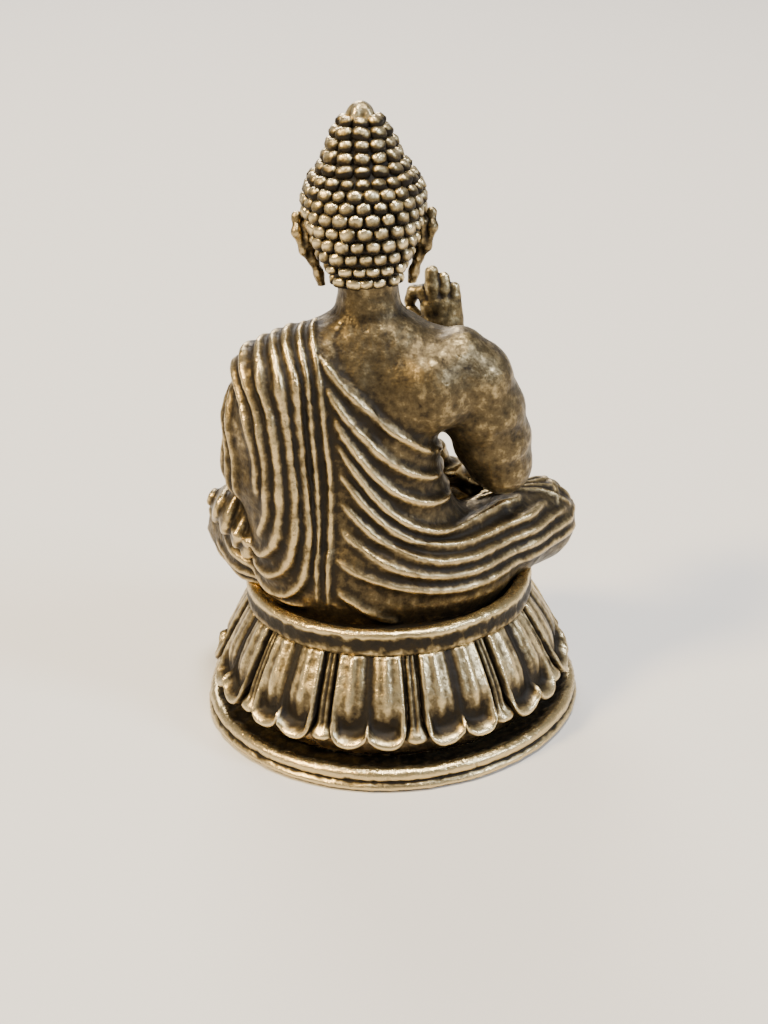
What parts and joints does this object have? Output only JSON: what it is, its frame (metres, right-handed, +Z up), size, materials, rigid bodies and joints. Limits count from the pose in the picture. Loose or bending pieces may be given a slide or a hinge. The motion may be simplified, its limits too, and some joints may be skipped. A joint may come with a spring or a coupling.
{
  "type": "seated buddha figure",
  "caption": "Small seated cross-legged figure in a draped robe, one hand raised and one in the lap, on a round pedestal of hanging lotus petals.",
  "frame": {"origin": "middle of the flat underside of the pedestal", "axes": "+Z up through the figure; -Y is the way the figure faces; +X is the figure's left side"},
  "size_m": [0.026, 0.026, 0.0406],
  "materials": {
    "cast_brass": "antique cast brass, worn bright on the high spots and dark brown in the recesses",
    "worn_brass": "antique cast brass rubbed bright on rings and hands",
    "dark_brass": "brass with heavy dark patina",
    "sheet_copper": "dull copper alloy sheet",
    "fixing_steel": "turned, dull"
  },
  "bodies": {
    "root": {"base_plate": "sheet_copper", "foot_ring": "worn_brass", "lotus_skirt": "cast_brass", "seat_rim": "worn_brass", "seat_plate": "dark_brass", "seat_stud": "fixing_steel", "clamp_washer": "fixing_steel", "clamp_nut": "fixing_steel", "crossed_legs": "cast_brass", "torso": "cast_brass", "right_upper_arm": "cast_brass", "right_forearm": "cast_brass", "right_hand": "worn_brass", "left_arm": "cast_brass", "left_hand": "worn_brass", "head": "cast_brass", "hair_cap": "cast_brass", "topknot_jewel": "worn_brass", "neck_dowel": "fixing_steel", "right_shoulder_dowel": "fixing_steel", "left_shoulder_dowel": "fixing_steel", "right_elbow_dowel": "fixing_steel", "right_wrist_dowel": "fixing_steel", "left_wrist_dowel": "fixing_steel"}
  },
  "joints": []
}
